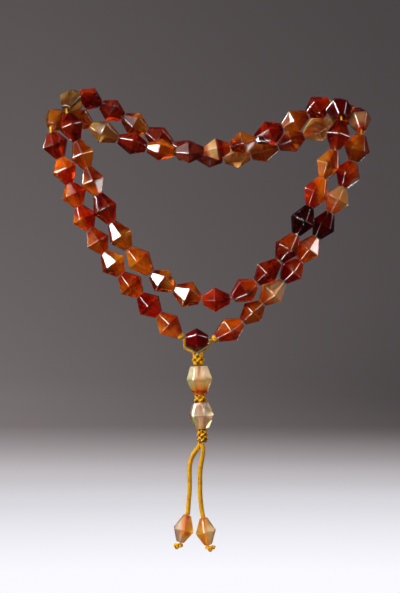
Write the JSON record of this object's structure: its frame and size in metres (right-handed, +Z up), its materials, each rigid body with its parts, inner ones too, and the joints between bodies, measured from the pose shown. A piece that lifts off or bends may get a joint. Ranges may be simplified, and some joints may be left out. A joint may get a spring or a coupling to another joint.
{
  "type": "agate mala",
  "caption": "Closed string of faceted agate beads wound double, with a dark guru bead, a knotted pendant of pale barrel beads and braided silk tail cords that end in beads.",
  "frame": {"origin": "midway between the two bends that the doubled string hangs from", "axes": "+X to the viewer's right along the line through the two bends, +Y away from the viewer, +Z up"},
  "size_m": [0.1644, 0.0454, 0.2335],
  "materials": {
    "red_agate": "polished, banded",
    "dark_agate": "polished",
    "pale_agate": "polished, banded",
    "silk_cord": "satin braid",
    "silk_thread": "satin"
  },
  "bodies": {
    "root": {"first_turn_beads": "red_agate", "second_turn_beads": "red_agate", "string_thread": "silk_thread", "guru_bead": "dark_agate", "left_collar": "silk_cord", "right_collar": "silk_cord", "left_sling_cord": "silk_cord", "right_sling_cord": "silk_cord", "upper_knot": "silk_cord", "upper_barrel_bead": "pale_agate", "middle_knot": "silk_cord", "lower_barrel_bead": "pale_agate", "lower_knot": "silk_cord", "pendant_core": "silk_cord", "left_tail_cord": "silk_cord", "right_tail_cord": "silk_cord", "left_end_bead": "pale_agate", "right_end_bead": "pale_agate", "left_end_knot": "silk_cord", "right_end_knot": "silk_cord"}
  },
  "joints": []
}
